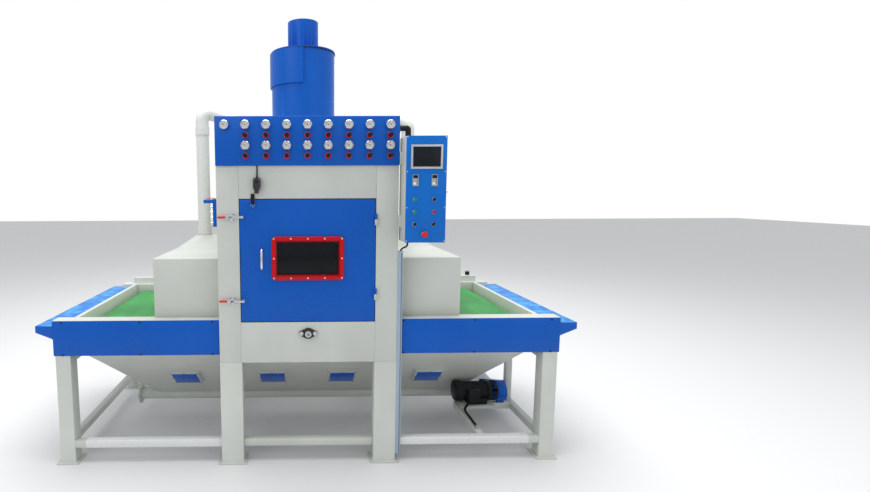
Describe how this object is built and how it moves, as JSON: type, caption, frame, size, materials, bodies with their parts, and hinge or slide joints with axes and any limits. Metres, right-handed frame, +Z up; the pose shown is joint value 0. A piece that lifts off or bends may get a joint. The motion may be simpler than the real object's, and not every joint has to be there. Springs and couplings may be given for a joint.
{
  "type": "conveyor sandblasting machine",
  "caption": "Blast cabin on legs over a mesh belt conveyor, with entry tunnels, grit hopper and screw, dust cyclone, gauge panel and control console.",
  "frame": {"origin": "on the floor, at the middle of the four anchor holes and under the middle of the cabin", "axes": "X along the belt, -Y towards the front with the main door, +Z up"},
  "size_m": [3.69, 1.73, 3.175],
  "materials": {
    "black_paint": "semi-gloss",
    "black_rubber": "matt",
    "blue_paint": "semi-gloss",
    "bright_steel": "brushed",
    "chrome_trim": "polished",
    "clear_glass": "clear",
    "clear_hose": "smooth",
    "cream_paint": "semi-gloss",
    "cream_strip": "matt",
    "dark_steel": "dull",
    "gauge_face": "matt",
    "green_belt": "semi-matt",
    "grey_plastic": "matt",
    "gun_alloy": "cast",
    "red_grip": "gloss",
    "shelf_blue": "semi-gloss",
    "white_pvc": "smooth",
    "window_red": "gloss"
  },
  "bodies": {
    "machine": {"door_jambs": "cream_paint", "cabin_faces": "cream_paint", "side_walls": "cream_paint", "cabin_roof": "cream_paint", "machine_legs": "cream_paint", "frame_stretchers": "cream_paint", "drive_frame": "cream_paint", "side_rails": "cream_paint", "side_skirts": "blue_paint", "end_walls": "cream_paint", "end_shelves": "shelf_blue", "belt_rollers": "bright_steel", "mesh_belt": "green_belt", "belt_bed": "cream_paint", "flange_bearings": "dark_steel", "belt_tunnels": "cream_paint", "tunnel_hoods": "cream_paint", "extraction_ducts": "white_pvc", "strip_curtains": "cream_strip", "cyclone_body": "blue_paint", "cyclone_outlet": "blue_paint", "grit_hopper": "cream_paint", "screw_conveyor": "cream_paint", "cleanout_hatches": "blue_paint", "screw_motor": "black_paint", "belt_guard": "blue_paint", "gauge_panel": "blue_paint", "gauges_and_regulators": "gauge_face", "fixed_hinges": "cream_paint", "clamp_bases": "bright_steel", "door_switch": "grey_plastic", "console_box": "cream_paint", "console_plate": "shelf_blue", "console_controls": "grey_plastic", "console_conduit": "black_rubber", "cable_trunking": "grey_plastic", "air_manifold": "blue_paint", "gun_frames": "bright_steel", "blast_guns": "gun_alloy", "distribution_box": "blue_paint", "drive_pulleys": "dark_steel", "grit_hoses": "black_rubber", "air_hoses": "clear_hose", "control_cables": "black_rubber"},
    "front_door": {"front_door_leaf": "blue_paint", "front_window_frame": "window_red", "front_window_glass": "clear_glass", "front_door_handle": "chrome_trim"},
    "rear_door": {"rear_door_leaf": "blue_paint", "rear_window_frame": "window_red", "rear_window_glass": "clear_glass", "rear_door_handle": "chrome_trim"},
    "front_upper_clamp_arm": {"front_upper_clamp_arm": "bright_steel"},
    "front_upper_clamp_handle": {"front_upper_clamp_handle": "red_grip"},
    "front_lower_clamp_arm": {"front_lower_clamp_arm": "bright_steel"},
    "front_lower_clamp_handle": {"front_lower_clamp_handle": "red_grip"},
    "rear_upper_clamp_arm": {"rear_upper_clamp_arm": "bright_steel"},
    "rear_upper_clamp_handle": {"rear_upper_clamp_handle": "red_grip"},
    "rear_lower_clamp_arm": {"rear_lower_clamp_arm": "bright_steel"},
    "rear_lower_clamp_handle": {"rear_lower_clamp_handle": "red_grip"}
  },
  "joints": [
    {"name": "front_door_hinge", "type": "hinge", "parent": "machine", "child": "front_door", "pos_m": [0.4505, -0.765, 1.415], "axis": [0, 0, 1], "range_deg": [0, 110]},
    {"name": "rear_door_hinge", "type": "hinge", "parent": "machine", "child": "rear_door", "pos_m": [-0.4505, 0.765, 1.415], "axis": [0, 0, 1], "range_deg": [0, 110]},
    {"name": "front_upper_clamp_arm_pivot", "type": "hinge", "parent": "machine", "child": "front_upper_clamp_arm", "pos_m": [-0.49, -0.772, 1.71], "axis": [0, 0, -1], "range_deg": [0, 95]},
    {"name": "front_upper_clamp_handle_pivot", "type": "hinge", "parent": "machine", "child": "front_upper_clamp_handle", "pos_m": [-0.518, -0.772, 1.71], "axis": [0, 0, -1], "range_deg": [-90, 0]},
    {"name": "front_lower_clamp_arm_pivot", "type": "hinge", "parent": "machine", "child": "front_lower_clamp_arm", "pos_m": [-0.49, -0.772, 1.15], "axis": [0, 0, -1], "range_deg": [0, 95]},
    {"name": "front_lower_clamp_handle_pivot", "type": "hinge", "parent": "machine", "child": "front_lower_clamp_handle", "pos_m": [-0.518, -0.772, 1.15], "axis": [0, 0, -1], "range_deg": [-90, 0]},
    {"name": "rear_upper_clamp_arm_pivot", "type": "hinge", "parent": "machine", "child": "rear_upper_clamp_arm", "pos_m": [0.49, 0.772, 1.71], "axis": [0, 0, -1], "range_deg": [0, 95]},
    {"name": "rear_upper_clamp_handle_pivot", "type": "hinge", "parent": "machine", "child": "rear_upper_clamp_handle", "pos_m": [0.518, 0.772, 1.71], "axis": [0, 0, -1], "range_deg": [-90, 0]},
    {"name": "rear_lower_clamp_arm_pivot", "type": "hinge", "parent": "machine", "child": "rear_lower_clamp_arm", "pos_m": [0.49, 0.772, 1.15], "axis": [0, 0, -1], "range_deg": [0, 95]},
    {"name": "rear_lower_clamp_handle_pivot", "type": "hinge", "parent": "machine", "child": "rear_lower_clamp_handle", "pos_m": [0.518, 0.772, 1.15], "axis": [0, 0, -1], "range_deg": [-90, 0]}
  ],
  "couplings": [
    {"joint": "front_upper_clamp_handle_pivot", "follows": "front_upper_clamp_arm_pivot", "ratio": -0.9},
    {"joint": "front_lower_clamp_handle_pivot", "follows": "front_lower_clamp_arm_pivot", "ratio": -0.9},
    {"joint": "rear_upper_clamp_handle_pivot", "follows": "rear_upper_clamp_arm_pivot", "ratio": -0.9},
    {"joint": "rear_lower_clamp_handle_pivot", "follows": "rear_lower_clamp_arm_pivot", "ratio": -0.9}
  ]
}
